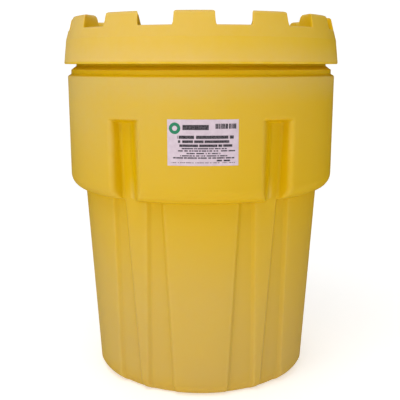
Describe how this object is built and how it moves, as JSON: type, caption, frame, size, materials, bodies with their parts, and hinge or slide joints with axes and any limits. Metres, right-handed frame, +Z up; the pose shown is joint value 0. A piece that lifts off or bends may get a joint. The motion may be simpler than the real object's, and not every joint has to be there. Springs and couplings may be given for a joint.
{
  "type": "overpack salvage drum",
  "caption": "Tapered moulded plastic overpack drum with a wide slotted upper band, fluted lower body, and a castellated screw-on lid.",
  "frame": {"origin": "centre of the flat base, on the surface the drum stands on", "axes": "+Z up along the drum's axis, -Y towards the front with the label, +X to the right seen from the front"},
  "size_m": [0.8124, 0.8124, 1.057],
  "materials": {
    "drum_plastic": "satin moulded polyethylene",
    "lid_plastic": "satin moulded polyethylene",
    "foam": "closed-cell foam",
    "label": "printed film"
  },
  "bodies": {
    "drum": {"drum_body": "drum_plastic", "label": "label"},
    "gasket": {"lid_gasket": "foam"},
    "lid": {"lid": "lid_plastic"}
  },
  "joints": [
    {"name": "lid_rise", "type": "slide", "parent": "drum", "child": "gasket", "axis": [0, 0, 1], "range_m": [0, 0.1017]},
    {"name": "lid_turn", "type": "hinge", "parent": "gasket", "child": "lid", "pos_m": [0, 0, 0.99], "axis": [0, 0, 1], "range_deg": [0, 1440]}
  ],
  "couplings": [
    {"joint": "lid_rise", "follows": "lid_turn", "m_per_rad": 0.0040425}
  ]
}
